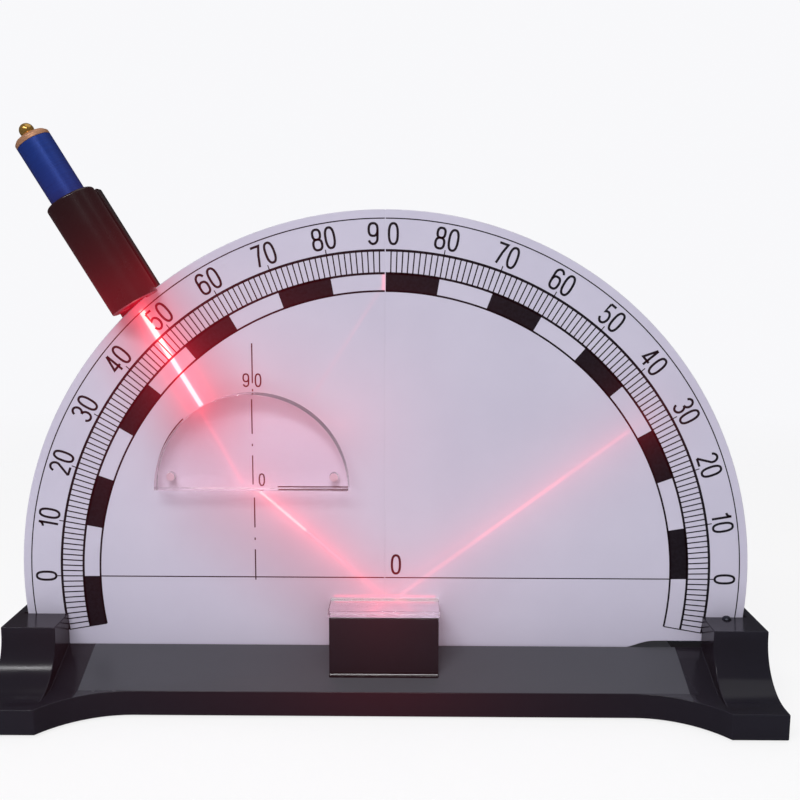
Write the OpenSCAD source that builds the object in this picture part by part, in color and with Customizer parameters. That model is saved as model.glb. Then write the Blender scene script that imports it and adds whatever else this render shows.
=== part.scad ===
// Laser reflection and refraction demonstrator: a half-round degree board in two
// hinged halves stands in a moulded base, a laser in a magnetic holder aims at a
// half-round acrylic prism, and a plane mirror lies on a block below the centre.
// X runs along the board, +Y is behind it, Z is up from the table.

/* [Board] */
// Radius of the half-round degree board
board_r = 150; // [140:1:160]
// Height of the board's zero line above the table
zero_z = 50; // [48:0.5:58]
// Thickness of the enamelled steel sheet
sheet_t = 1.5; // [1:0.1:2]
// Thickness of the printed film on the sheet's front
film_t = 0.25; // [0.15:0.05:0.4]
// Gap between the two halves at the seam
seam_gap = 0.4; // [0.3:0.1:1]
// How far the film stays back from the sheet's edge, except at the seam
film_inset = 0.3; // [0.2:0.1:0.8]
// How far the fixed half reaches into the groove of the base
tongue_h = 6.8; // [4:0.2:8]
// Rise of the folding half's lower edge over the ridge, near its free end
relief_h = 2; // [1.5:0.1:4]
// Distance from the seam to the start of that rise
relief_x = 95; // [70:1:110]
// Length of the soft curve of that rise
relief_run = 18; // [8:1:20]

/* [Base] */
// Width of each end block along the board
block_w = 21.8; // [18:0.2:28]
// Half the depth of an end block
block_half = 17; // [14:0.5:20]
// Height of the end blocks
block_top = 33.8; // [33:0.2:40]
// Radius of the hollow flank between block and toe
flank_r = 20; // [16:0.5:21]
// Flat ledge in front of the flank
toe_ledge = 5; // [3:0.5:9]
// Height of the plinth and of the toes
plinth_h = 11; // [9:0.5:12]
// Half the depth of the plinth between the ends
waist_half = 25; // [23:0.5:26]
// Length along the board of the curve in plan from waist to toe
flare_len = 33; // [26:1:40]
// Height of the ridge that the board stands on
ridge_z = 20.8; // [19:0.2:22]
// Distance from the board's middle plane to the front edge of the ridge
ridge_front = 2.4; // [2:0.1:4]
// Distance from the board's middle plane to the rear edge of the ridge
ridge_rear = 9; // [7:0.5:12]
// Depth of the shelf behind the lip, where the folding half passes
shelf_drop = 2; // [1.5:0.1:3]
// Thickness of the moulded walls
wall = 2.5; // [2:0.1:3]
// Half the thickness of the web under the ridge
web_half = 5; // [4.5:0.1:6]
// Number of hollow bays between the ribs
bays = 6; // [4:1:8]
// Thickness of the cross ribs
rib_t = 2; // [1.5:0.1:3]
// Thickness of the cheek outside the board's end
cheek_t = 3.2; // [2.5:0.1:4]
// Radius of a rubber foot
foot_r = 5; // [4:0.2:6]
// Thickness of a rubber foot
foot_t = 2.3; // [2:0.1:3]
// How far a foot stands out below the moulding
foot_proud = 0.8; // [0.5:0.1:1.2]
// Radius of the stop pin's dome
stop_r = 2; // [1.4:0.1:2.2]
// Height of the stop pin's dome
stop_h = 1.3; // [1:0.1:2]
// Distance of the stop pin from the inner side of its block
stop_x = 9.5; // [5:0.5:12]
// Length of the stop pin's shank
stop_shank = 8; // [5:0.5:10]

/* [Mirror block] */
// Width of the block along the board
mblock_w = 44; // [36:1:60]
// Height of the block's top above the table
mblock_top = 38.5; // [36:0.5:41]
// Distance of its front face from the board's middle plane
mblock_front = 17; // [15:0.5:18]
// Radius of the hollow at the block's foot
mfoot_r = 2; // [1:0.5:4]
// Thickness of the foot's front edge
mfoot_t = 0.4; // [0.3:0.1:0.8]
// Thickness of the adhesive pad under the mirror
pad_t = 0.3; // [0.2:0.1:0.6]
// Thickness of the mirror glass
glass_t = 2.6; // [2:0.1:4]
// How far the glass stands out over the block at its front and sides
glass_over = 0.4; // [0:0.1:1]
// Distance of the block's screws from the seam
mscrew_x = 14; // [10:0.5:15]
// Distance of the block's screws in front of the board
mscrew_y = 12; // [10:0.5:13]

/* [Seam hinges] */
// Height of the middle of the lower hinge
hinge_low = 62; // [50:1:90]
// Height of the middle of the upper hinge
hinge_high = 162; // [120:1:164]
// Length of one hinge along the seam
hinge_len = 30; // [24:1:36]
// Width of one leaf
leaf_w = 14; // [10:0.5:18]
// Thickness of a leaf
leaf_t = 0.7; // [0.5:0.1:1]
// Radius of the knuckles
knuckle_r = 2.2; // [2:0.1:2.6]
// Radius of the hinge pin
hinge_pin_r = 1; // [0.8:0.1:1.2]
// How far a hinge pin stands out at each end
hinge_pin_out = 0.8; // [0.5:0.1:1.5]

/* [Laser aim and holder] */
// Angle of the laser from the vertical
aim = 31; // [29:0.5:33]
// Distance from the board's edge in to the rim magnet's middle
magnet_in = 6.2; // [5.4:0.1:6.2]
// Distance from the magnet's middle to the holder's front face
holder_front = 8.5; // [8.5:0.5:11]
// Length of the holder's barrel
holder_len = 44.5; // [40:0.5:48]
// How far the front of the barrel laps over the board's face
holder_lap = 2.5; // [0.5:0.5:4]
// Radius of the holder's barrel
barrel_r = 10; // [9:0.2:10]
// Chamfer round the holder's rear end
holder_chamfer = 0.6; // [0.3:0.1:1]
// Half the width of the magnet bar, and the radius of its round end
bar_half = 9.4; // [8:0.2:10]
// Thickness of the magnet bar
bar_t = 9; // [8.5:0.2:11]
// Radius of the bar's long rear edges
bar_edge = 2.5; // [1:0.1:3]
// Wall between the holder's bore and the flat that the bar is bonded to
flat_wall = 0.6; // [0.4:0.1:1]
// Radius of the rim magnet
magnet_r = 5; // [4:0.2:5]
// Thickness of the rim magnet
magnet_t = 3; // [2:0.2:4]
// Radius of the opening in the holder's front face
aperture_r = 5.4; // [4.5:0.1:6]
// Depth of the front wall that stops the laser
front_wall = 7; // [4:0.5:9]

/* [Laser] */
// Radius of the laser's body
tube_r = 7; // [6.8:0.1:7.6]
// Length of the laser's body
tube_len = 62; // [60:0.5:68]
// Wall of the laser's body
tube_wall = 0.9; // [0.8:0.05:1]
// Thickness of the nose ring
nose_t = 2; // [1.5:0.1:2.5]
// Radius of the hole in the nose ring
nose_hole = 2.8; // [2:0.1:3.2]
// Radius of the lenses
lens_r = 3.4; // [3:0.1:3.6]
// Thickness of the line lens, which fans the beam out
line_lens_t = 2.4; // [2:0.1:3]
// Thickness of the collimating lens
lens_t = 2.8; // [2:0.1:3]
// Length of the spacer between the lenses
spacer_len = 5.4; // [4:0.1:7]
// Wall of that spacer
spacer_wall = 0.6; // [0.4:0.1:0.8]
// Distance from the collimating lens to the diode
focus_len = 5; // [4:0.1:6]
// Radius of the beam's path through the lens barrel
path_r = 2.2; // [1.8:0.1:2.4]
// Radius of the laser diode's can
diode_r = 2.8; // [2.5:0.1:3]
// Length of the laser diode's can
diode_len = 3.5; // [3:0.1:4]
// Depth of the hollow behind the diode
barrel_hollow = 7; // [6:0.5:9]
// Radius of that hollow
hollow_r = 4.6; // [4.2:0.1:4.9]
// Thickness of the driver's circuit board
pcb_t = 1.2; // [0.8:0.1:1.6]
// Side of the chip on the circuit board
chip_w = 4; // [3:0.1:5]
// Height of the chip on the circuit board
chip_h = 1.5; // [1:0.1:2]
// Length of the contact spring in front of the cells
contact_len = 5; // [4:0.5:7]
// Radius of a button cell
cell_r = 5.8; // [5.6:0.1:5.9]
// Thickness of a button cell
cell_t = 5.4; // [5:0.1:5.4]
// Number of button cells
cells = 3; // [2:1:3]
// Thickness of the copper tail flange
tail_t = 2.6; // [2:0.1:3]
// Width of the chamfer round the tail flange
tail_chamfer = 1.1; // [0.5:0.1:1.3]
// Length of the tail plug's spigot inside the tube
plug_len = 5; // [4.5:0.1:6]
// Radius of the spring pocket in the plug
pocket_r = 4.4; // [4:0.1:4.8]
// Depth of the plug's end wall, which the stem passes
plug_wall = 1.2; // [1:0.1:1.5]
// Radius of the ball on the button
ball_r = 2.85; // [2.4:0.05:3.3]
// How far the ball sits in the flange's dish when it isn't pressed
ball_in = 0.4; // [0.3:0.1:1]
// Radius of the button's stem
stem_r = 1.5; // [1.2:0.1:1.8]
// Radius of the button's inner disc
disc_r = 3.8; // [3:0.1:3.8]
// Thickness of the button's inner disc
disc_t = 1; // [0.8:0.1:1.4]
// Travel of the button
press = 0.8; // [0.5:0.1:1]
// Radius of the wire of both springs
wire_r = 0.3; // [0.2:0.05:0.35]

/* [Prism] */
// Distance of the prism's centre from the seam, to the left
prism_x = 53.5; // [52.5:0.5:54.5]
// Height of the prism's centre above the zero line
prism_up = 38.3; // [37.5:0.1:39]
// Radius of the half-round prism
prism_r = 39; // [30:1:40]
// Thickness of the prism
prism_t = 8; // [7:0.2:9]
// Distance of the prism's magnets from its centre line
pmag_x = 33; // [26:0.5:33]
// Height of the prism's magnets above its flat side
pmag_z = 5; // [3:0.5:6]
// Radius of a prism magnet
pmag_r = 1.7; // [1.2:0.1:2]
// Thickness of a prism magnet
pmag_t = 3; // [2:0.2:4]

/* [Fits] */
// Clearance of a piece that is seated and stays
seat = 0.05; // [0.02:0.01:0.08]
// Clearance of a piece that turns or slides
run = 0.05; // [0.03:0.01:0.08]
// Gap between faces that pass each other
pass = 0.3; // [0.25:0.05:0.4]
// Gap between the prism and the board
prism_gap = 0.2; // [0.15:0.05:0.3]
// Gap between the laser's nose and the holder's front wall
nose_gap = 0.5; // [0.3:0.1:1]
// Room between the board's end and the cheeks
end_gap = 0.6; // [0.5:0.1:1]

/* [Screws] */
// Radius of a screw's shank
screw_r = 1.4; // [1.2:0.1:1.6]
// Radius of a screw's head
head_r = 2.8; // [2.4:0.1:3]
// Height of a screw's head
head_h = 2; // [1.6:0.1:2.4]
// Wall round a screw in the moulding
boss_wall = 2.4; // [2:0.1:2.6]
// Length of a screw below its head
screw_len = 19; // [17:0.5:20]
// Length of a board screw below its head
board_screw_len = 22; // [20:0.5:26]
// Half the distance between the board screws
board_screw_gap = 4.5; // [4:0.1:5]

/* [Hidden] */
$fn = 96;
eps = 0.01;
over = 1;

// The sheet's middle plane is y = 0
back_y = sheet_t / 2;
face_y = -sheet_t / 2 - film_t;
lip_y = face_y - pass;

// Ends, toes and flanks of the base
cheek_in = board_r + end_gap;
block_out = cheek_in + cheek_t;
block_in = block_out - block_w;
block_mid = (block_in + block_out) / 2;
toe_half = block_half + flank_r + toe_ledge;
flank_z = plinth_h + flank_r;
flare_drop = toe_half - waist_half;
flare_r = (pow(flare_len, 2) + pow(flare_drop, 2)) / (2 * flare_drop);
slope = atan((ridge_z - plinth_h) / (waist_half - ridge_front));
shelf_z = ridge_z - shelf_drop;
bay_len = (2 * (block_in - wall) - (bays - 1) * rib_t) / bays;
foot_y = toe_half - wall - foot_r - seat;
boss_r = head_r + boss_wall;
function deck_z(y) = plinth_h + (waist_half - y) * tan(slope);

// Board halves and screws
tongue_z = ridge_z - tongue_h;
swing_z = shelf_z + pass;
screw_z = (tongue_z + block_top) / 2;
mhead_z = foot_proud + 2 * head_h;

// Mirror on its block
mblock_back = lip_y - pass;
mfoot_y = mblock_front + mfoot_r;
mfoot_z = deck_z(mfoot_y) + (mfoot_r + mfoot_t) / cos(slope);
pad_z = mblock_top;
glass_z = pad_z + pad_t;

// Seam hinges
hinge_y = back_y + knuckle_r;
knuckle_len = hinge_len / 3;

// Laser axis: it runs from the prism's centre up to the left
aim_x = -prism_x;
aim_z = zero_z + prism_up;
beam_y = face_y - prism_gap - prism_t / 2;
magnet_s = axis_at(board_r - magnet_in);
magnet_x = aim_x - magnet_s * sin(aim);
magnet_z = aim_z + magnet_s * cos(aim);
bar_y = back_y + pass;
flat_y = beam_y + tube_r + run + flat_wall;
// Distance along the axis at which it is r away from the board's zero point
function axis_at(r) = let (near = prism_x * sin(aim) + prism_up * cos(aim))
    sqrt(pow(near, 2) + pow(r, 2) - pow(prism_x, 2) - pow(prism_up, 2)) - near;

// Places along the laser axis, from the aim point
holder_s = magnet_s + holder_front;
bore_s = holder_s + front_wall;
tube_s = bore_s + nose_gap;
tail_s = tube_s + tube_len;
bore_r = tube_r - tube_wall;
core_r = bore_r - seat;
barrel_s = tube_s + nose_t;
spacer_s = barrel_s + line_lens_t;
lens_s = spacer_s + spacer_len;
path_s = lens_s + lens_t;
diode_s = path_s + focus_len;
hollow_s = diode_s + diode_len;
pcb_s = hollow_s + barrel_hollow;
contact_s = pcb_s + pcb_t;
cell_s = contact_s + contact_len;
cells_end = cell_s + cells * cell_t;
plug_s = tail_s - plug_len;
disc_s = tail_s - plug_wall - run - disc_t;
nose_tip = cells_end + press + run;
ball_s = tail_s + tail_t + ball_r - ball_in;

// An outline of y and z drawn out along the board
module along_x(x0, x1) {
    translate([x0, 0, 0]) rotate([90, 0, 90]) linear_extrude(x1 - x0) children();
}

// An outline of x and z drawn out from y0 to y1
module along_y(y0, y1) {
    translate([0, y1, 0]) rotate([90, 0, 0]) linear_extrude(y1 - y0) children();
}

// The same thing on the left and on the right
module both_ends() {
    children();
    mirror([1, 0, 0]) children();
}

// The same thing at all four toes
module four_corners() {
    both_ends() {
        children();
        mirror([0, 1, 0]) children();
    }
}

// The laser's own axis, with its zero at the prism's centre
module on_axis(s = 0) {
    translate([aim_x, beam_y, aim_z]) rotate([0, -aim, 0]) translate([0, 0, s]) children();
}

// A tube along the laser's axis
module sleeve(s, len, outer, inner) {
    on_axis(s) difference() {
        cylinder(r = outer, h = len);
        translate([0, 0, -over]) cylinder(r = inner, h = len + 2 * over);
    }
}

// Outline of the plinth in plan: a waist that flares out to the toes
module plan() {
    square([2 * block_in + 2 * eps, 2 * waist_half], center = true);
    for (sx = [-1, 1]) scale([sx, 1]) {
        translate([block_in, -toe_half]) square([block_w, 2 * toe_half]);
        for (sy = [-1, 1]) scale([1, sy]) difference() {
            translate([block_in - flare_len, waist_half - over])
                square([flare_len + eps, flare_drop + over]);
            translate([block_in - flare_len, waist_half + flare_r]) circle(flare_r);
        }
    }
}

// Section of the middle: slopes that rise to a ridge, drawn out or in by a gap
module deck_profile(gap = 0) {
    out = waist_half + gap;
    top = ridge_z + gap;
    for (side = [[-1, ridge_front], [1, ridge_rear]]) {
        tilt = atan((ridge_z - plinth_h) / (waist_half - side[1]));
        low = plinth_h + gap * (1 / cos(tilt) - tan(tilt));
        scale([side[0], 1]) polygon([
            [-eps, foot_proud], [out, foot_proud], [out, low],
            [out - (top - low) / tan(tilt), top], [-eps, top]
        ]);
    }
}

// Section of an end block with its hollow flanks
module block_profile() {
    flank_half = block_half + flank_r;
    difference() {
        translate([-flank_half, foot_proud]) square([2 * flank_half, block_top - foot_proud]);
        for (s = [-1, 1]) scale([s, 1]) {
            translate([flank_half, flank_z]) circle(flank_r);
            translate([block_half, flank_z]) square([flank_r + over, block_top]);
        }
    }
}

// Hollows under the slopes of the middle, on both sides of the web
module channel_profile() {
    difference() {
        union() {
            intersection() {
                deck_profile(-wall);
                translate([-waist_half, 0]) square([2 * waist_half, shelf_z - wall]);
            }
            translate([wall - waist_half, 0]) square([2 * (waist_half - wall), foot_proud + eps]);
        }
        translate([-web_half, 0]) square([2 * web_half, ridge_z]);
    }
}

// Hollow inside one end block, on the +y side, up to a given height
module cavity_profile(top) {
    flank_half = block_half + flank_r;
    translate([web_half, 0]) square([toe_half - wall - web_half, plinth_h - wall]);
    difference() {
        translate([web_half, 0]) square([flank_half - web_half, top]);
        translate([flank_half, flank_z]) circle(flank_r + wall);
        translate([block_half - wall, flank_z]) square([flank_r + wall + over, block_top]);
    }
}

// Channels between the cross ribs, front and rear
module channels() {
    for (i = [0 : bays - 1]) {
        x0 = -(block_in - wall) + i * (bay_len + rib_t);
        along_x(x0, x0 + bay_len) channel_profile();
    }
}

// Hollows of the two end blocks; the right one is low behind the board
module cavities() {
    x0 = block_in + wall;
    x1 = block_out - wall;
    full = block_top - wall;
    for (s = [0, 1]) mirror([1, 0, 0]) mirror([0, s, 0]) along_x(x0, x1) cavity_profile(full);
    mirror([0, 1, 0]) along_x(x0, x1) cavity_profile(full);
    along_x(x0, x1) cavity_profile(shelf_z - wall);
}

// Places of the two screws that hold the mirror block
module at_mscrews() {
    both_ends() translate([mscrew_x, -mscrew_y, 0]) children();
}

// Places of the two screws that clamp the fixed half, pointing to the front
module at_board_screws() {
    for (s = [-1, 1]) translate([-block_mid + s * board_screw_gap, block_half, screw_z])
        rotate([90, 0, 0]) children();
}

// Solid posts inside the shell: for the feet, the screws and the stop pin
module posts() {
    four_corners() translate([block_mid, foot_y, foot_proud])
        cylinder(r = foot_r + seat + wall / 2, h = plinth_h - foot_proud - wall / 2);
    at_mscrews() translate([0, 0, mhead_z])
        cylinder(r = boss_r, h = deck_z(mscrew_y) - mhead_z - wall / 2);
    at_board_screws() translate([0, 0, wall / 2]) cylinder(r = boss_r, h = 2 * block_half - wall);
    translate([block_in + stop_x, lip_y - stop_r, block_top - stop_shank - wall])
        cylinder(r = stop_r + wall, h = stop_shank + wall / 2);
}

// Everything that is bored or cut after the posts are in
module base_cuts() {
    // groove and slot of the fixed half
    translate([-cheek_in, face_y - seat, tongue_z - seat])
        cube([cheek_in + eps, back_y - face_y + 2 * seat, block_top]);
    // swing room of the folding half
    translate([0, lip_y, shelf_z]) cube([cheek_in, 2 * toe_half, block_top]);
    four_corners() translate([block_mid, foot_y, -over])
        cylinder(r = foot_r + seat, h = foot_t + over + seat);
    at_mscrews() cylinder(r = screw_r + seat, h = ridge_z);
    at_board_screws() {
        translate([0, 0, -over]) cylinder(r = screw_r + seat, h = board_screw_len + head_h + 2 * over);
        translate([0, 0, -over]) cylinder(r = head_r + seat, h = head_h + over + seat);
    }
    translate([block_in + stop_x, lip_y - stop_r, block_top - stop_shank])
        cylinder(r = stop_r / 2 + seat, h = stop_shank + over);
}

module base() {
    color([0.11, 0.11, 0.13]) difference() {
        union() {
            difference() {
                union() {
                    translate([0, 0, foot_proud]) linear_extrude(plinth_h - foot_proud) plan();
                    along_x(-block_in - eps, block_in + eps) deck_profile();
                    both_ends() along_x(block_in, block_out) block_profile();
                }
                channels();
                cavities();
            }
            intersection() {
                posts();
                union() {
                    linear_extrude(plinth_h) plan();
                    along_x(-block_in, block_in) deck_profile();
                    both_ends() along_x(block_in, block_out) block_profile();
                }
            }
        }
        base_cuts();
    }
}

module rubber_feet() {
    color([0.2, 0.2, 0.2]) four_corners() translate([block_mid, foot_y, 0])
        cylinder(r = foot_r, h = foot_t);
}

// A domed pin on the right block, right in front of the folding half
module stop_pin() {
    dome_r = (pow(stop_r, 2) + pow(stop_h, 2)) / (2 * stop_h);
    color([0.25, 0.26, 0.3]) translate([block_in + stop_x, lip_y - stop_r, block_top]) {
        translate([0, 0, -stop_shank + seat]) cylinder(r = stop_r / 2, h = stop_shank);
        translate([0, 0, seat]) intersection() {
            cylinder(r = stop_r, h = stop_h);
            translate([0, 0, stop_h - dome_r]) sphere(dome_r);
        }
    }
}

// Block that stands on the slope, with a hollow foot along its front
module mirror_block() {
    color([0.1, 0.1, 0.12]) difference() {
        along_x(-mblock_w / 2, mblock_w / 2) difference() {
            union() {
                translate([-mblock_front, plinth_h])
                    square([mblock_front + mblock_back, mblock_top - plinth_h]);
                polygon([
                    [-mblock_front - eps, mfoot_z], [-mfoot_y, mfoot_z], [-mfoot_y, mfoot_z - mfoot_r / 2],
                    [mfoot_r * sin(slope) - mfoot_y, mfoot_z - mfoot_r * cos(slope)],
                    [mfoot_r * sin(slope) - mfoot_y, plinth_h], [-mblock_front, plinth_h],
                    [eps - mblock_front, mfoot_z]
                ]);
            }
            translate([-mfoot_y, mfoot_z]) circle(mfoot_r);
            deck_profile(seat);
        }
        at_mscrews() translate([0, 0, plinth_h])
            cylinder(r = screw_r + seat, h = mhead_z + screw_len + over - plinth_h);
    }
}

module screw(len) {
    slot_len = 1.2 * head_r;
    slot_w = 0.3 * head_h;
    difference() {
        union() {
            cylinder(r = head_r, h = head_h);
            translate([0, 0, head_h - eps]) cylinder(r = screw_r, h = len);
        }
        for (a = [0, 90]) rotate(a)
            translate([-slot_len / 2, -slot_w / 2, -over]) cube([slot_len, slot_w, over + head_h / 2]);
    }
}

module block_screws() {
    color("silver") at_mscrews() translate([0, 0, mhead_z - head_h]) screw(screw_len);
}

module board_screws() {
    color("silver") at_board_screws() screw(board_screw_len);
}

module mirror_pad() {
    inset = 1;
    color("white") translate([-mblock_w / 2 + inset, -mblock_front + inset, pad_z])
        cube([mblock_w - 2 * inset, mblock_front + mblock_back - 2 * inset, pad_t]);
}

module mirror_glass() {
    color([0.85, 0.9, 0.92, 0.9])
        translate([-mblock_w / 2 - glass_over, -mblock_front - glass_over, glass_z])
        cube([mblock_w + 2 * glass_over, mblock_front + glass_over + mblock_back, glass_t]);
}

// Outline of the fixed half; inset draws the film's edge back
module left_outline(inset = 0) {
    intersection() {
        translate([0, zero_z]) circle(board_r - inset);
        translate([-board_r - seam_gap / 2, tongue_z + inset]) square([board_r, board_r + zero_z]);
    }
}

// Outline of the folding half, whose lower edge rises near the free end
module right_outline(inset = 0) {
    z0 = swing_z + inset;
    rise = shelf_drop + relief_h;
    difference() {
        intersection() {
            translate([0, zero_z]) circle(board_r - inset);
            translate([seam_gap / 2, z0]) square([board_r, board_r + zero_z]);
        }
        polygon(concat(
            [[relief_x, z0 - over]],
            [for (a = [0 : 15 : 180]) [relief_x + relief_run * a / 180, z0 + rise * (1 - cos(a)) / 2]],
            [[board_r + over, z0 + rise], [board_r + over, z0 - over]]
        ));
    }
}

module board_screw_holes() {
    at_board_screws() cylinder(r = screw_r + seat, h = board_screw_len);
}

module left_board() {
    color([0.9, 0.9, 0.93]) difference() {
        along_y(-sheet_t / 2, back_y) left_outline();
        board_screw_holes();
    }
}

module left_dial_film() {
    color([0.84, 0.83, 0.9]) difference() {
        along_y(face_y, -sheet_t / 2) left_outline(film_inset);
        board_screw_holes();
    }
}

module right_board() {
    color([0.9, 0.9, 0.93]) along_y(-sheet_t / 2, back_y) right_outline();
}

module right_dial_film() {
    color([0.84, 0.83, 0.9]) along_y(face_y, -sheet_t / 2) right_outline(film_inset);
}

// One leaf of a hinge on the +x side, with the knuckles of a list
module leaf(z, knuckles, bore) {
    root = knuckle_r + pass;
    difference() {
        union() {
            translate([root, back_y, z - hinge_len / 2]) cube([leaf_w - root, leaf_t, hinge_len]);
            for (k = knuckles) translate([0, 0, z - hinge_len / 2 + k * knuckle_len + run]) {
                translate([0, back_y, 0]) cube([root + eps, leaf_t, knuckle_len - 2 * run]);
                translate([0, hinge_y, 0]) cylinder(r = knuckle_r, h = knuckle_len - 2 * run);
            }
        }
        translate([0, hinge_y, z - hinge_len]) cylinder(r = bore, h = 2 * hinge_len);
    }
}

module fixed_leaves() {
    color("silver") for (z = [hinge_low, hinge_high])
        mirror([1, 0, 0]) leaf(z, [0, 2], hinge_pin_r + seat / 2);
}

module swing_leaves() {
    color("silver") for (z = [hinge_low, hinge_high]) leaf(z, [1], hinge_pin_r + run);
}

module hinge_pins() {
    color("gray") for (z = [hinge_low, hinge_high])
        translate([0, hinge_y, z - hinge_len / 2 - hinge_pin_out])
        cylinder(r = hinge_pin_r, h = hinge_len + 2 * hinge_pin_out);
}

module rim_magnet() {
    color("silver") translate([magnet_x, bar_y, magnet_z]) rotate([-90, 0, 0])
        cylinder(r = magnet_r, h = magnet_t);
}

// Barrel with a flat behind its bore; the front of its face laps over the board's rim
module laser_holder() {
    bore = tube_r + run;
    shoulder = holder_len - holder_chamfer;
    color([0.13, 0.11, 0.12]) on_axis(holder_s) difference() {
        rotate_extrude() polygon([
            [aperture_r, -holder_lap], [barrel_r, -holder_lap], [barrel_r, shoulder],
            [barrel_r - holder_chamfer, holder_len], [bore, holder_len],
            [bore, front_wall], [aperture_r, front_wall]
        ]);
        translate([-barrel_r - over, flat_y - beam_y, -over - holder_lap])
            cube([2 * (barrel_r + over), 2 * barrel_r, holder_len + holder_lap + 2 * over]);
        translate([-barrel_r - over, lip_y - beam_y, -over - holder_lap])
            cube([2 * (barrel_r + over), 2 * barrel_r, holder_lap + over]);
    }
}

// Bar on that flat; its round end reaches behind the board's rim and holds the magnet
module magnet_bar() {
    bar_len = holder_s + holder_len - magnet_s;
    front = bar_y - beam_y;
    color([0.13, 0.11, 0.12]) on_axis(magnet_s) difference() {
        translate([0, front + bar_t, 0]) rotate([90, 0, 0]) linear_extrude(bar_t) {
            circle(bar_half);
            translate([-bar_half, 0]) square([2 * bar_half, bar_len]);
        }
        // rounding of the long rear edges
        for (s = [-1, 1])
            translate([s * (bar_half - bar_edge), front + bar_t - bar_edge, -bar_half - over])
            linear_extrude(bar_len + bar_half + 2 * over) scale([s, 1]) difference() {
                square(bar_edge + over);
                circle(bar_edge);
            }
        // seat of the barrel, and the magnet's pocket
        translate([-bar_half - over, front - over, holder_front])
            cube([2 * (bar_half + over), flat_y - bar_y + over, bar_len]);
        translate([0, front - over, 0]) rotate([-90, 0, 0])
            cylinder(r = magnet_r + run, h = magnet_t + over + run);
    }
}

// Anodised body with a small chamfer at its nose
module laser_tube() {
    chamfer = tube_wall / 2;
    color([0.16, 0.3, 0.62]) on_axis(tube_s) rotate_extrude() polygon([
        [bore_r, 0], [tube_r - chamfer, 0], [tube_r, chamfer], [tube_r, tube_len], [bore_r, tube_len]
    ]);
}

module nose_ring() {
    color("goldenrod") sleeve(tube_s, nose_t - seat, core_r, nose_hole);
}

module line_lens() {
    color([0.8, 0.9, 1, 0.6]) on_axis(barrel_s) intersection() {
        cylinder(r = lens_r - seat, h = line_lens_t - seat);
        translate([-lens_r, 0, -lens_r / 2 + line_lens_t - seat]) rotate([0, 90, 0])
            cylinder(r = lens_r * 1.5, h = 2 * lens_r);
    }
}

module lens_spacer() {
    color([0.15, 0.15, 0.15])
        sleeve(spacer_s, spacer_len - seat, lens_r - seat, lens_r - seat - spacer_wall);
}

// Flat at the back, domed at the front
module collimating_lens() {
    color([0.8, 0.9, 1, 0.6]) on_axis(lens_s) intersection() {
        cylinder(r = lens_r - seat, h = lens_t - seat);
        translate([0, 0, lens_r * 1.6]) sphere(lens_r * 1.6);
    }
}

// Brass barrel that lines up lenses and diode
module lens_barrel() {
    color("goldenrod") on_axis(barrel_s) difference() {
        cylinder(r = core_r, h = pcb_s - barrel_s);
        translate([0, 0, -over]) cylinder(r = lens_r, h = path_s - barrel_s + over);
        translate([0, 0, -over]) cylinder(r = path_r, h = pcb_s);
        translate([0, 0, diode_s - barrel_s]) cylinder(r = diode_r + seat, h = pcb_s);
        translate([0, 0, hollow_s - barrel_s]) cylinder(r = hollow_r, h = pcb_s);
    }
}

// Metal can with a wider flange at its back
module laser_diode() {
    flange_t = 1;
    color("silver") on_axis(diode_s + seat) {
        cylinder(r = diode_r, h = diode_len - seat + eps);
        translate([0, 0, diode_len - seat]) cylinder(r = hollow_r - seat, h = flange_t);
    }
}

module driver_board() {
    color([0.1, 0.4, 0.2]) on_axis(pcb_s) {
        translate([0, 0, seat]) cylinder(r = core_r, h = pcb_t - seat);
        translate([-chip_w / 2, -chip_w / 2, seat - chip_h]) cube([chip_w, chip_w, chip_h + eps]);
    }
}

// Round wire wound along +z: rings of points along a helix, closed at both ends
module coil(r, len, turns) {
    per_turn = 16;
    sides = 6;
    rings = per_turn * turns;
    pitch = (len - 2 * wire_r) / turns;
    points = [for (i = [0 : rings], k = [0 : sides - 1])
        let (a = 360 * i / per_turn, b = 360 * k / sides, q = r + wire_r * cos(b))
        [q * cos(a), q * sin(a), wire_r + pitch * i / per_turn + wire_r * sin(b)]];
    walls = [for (i = [0 : rings - 1], k = [0 : sides - 1])
        let (a = i * sides + k, b = i * sides + (k + 1) % sides)
        each [[a, a + sides, b], [b, a + sides, b + sides]]];
    caps = [[for (k = [0 : sides - 1]) k], [for (k = [sides - 1 : -1 : 0]) rings * sides + k]];
    polyhedron(points, concat(walls, caps));
}

module contact_spring() {
    color("silver") on_axis(contact_s + seat) coil(cell_r * 0.7, contact_len - 2 * seat, 4);
}

module button_cells() {
    rim = 0.4;
    color("silver") for (i = [0 : cells - 1]) on_axis(cell_s + i * cell_t) {
        cylinder(r = cell_r, h = cell_t - rim);
        translate([0, 0, cell_t - rim - eps]) cylinder(r = cell_r - 2 * rim, h = rim - seat + eps);
    }
}

// Copper-coloured flange with a dish for the ball, a spigot and a pocket for the button
module tail_plug() {
    color([0.72, 0.45, 0.3]) on_axis(tail_s) difference() {
        rotate_extrude() polygon([
            [stem_r + run, -plug_wall], [pocket_r, -plug_wall], [pocket_r, -plug_len],
            [core_r, -plug_len], [core_r, seat], [tube_r, seat], [tube_r, tail_t - tail_chamfer],
            [tube_r - tail_chamfer, tail_t], [stem_r + run, tail_t]
        ]);
        translate([0, 0, ball_s - tail_s - press]) sphere(ball_r + 3 * run);
    }
}

// Ball, neck, inner disc and the tip that meets the cells when it is pressed
module tail_button() {
    color([0.75, 0.6, 0.3]) on_axis() {
        translate([0, 0, ball_s]) sphere(ball_r);
        translate([0, 0, disc_s]) cylinder(r = stem_r, h = ball_s - disc_s);
        translate([0, 0, disc_s]) cylinder(r = disc_r, h = disc_t);
        translate([0, 0, nose_tip]) cylinder(r = stem_r, h = disc_s - nose_tip + eps);
    }
}

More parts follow.
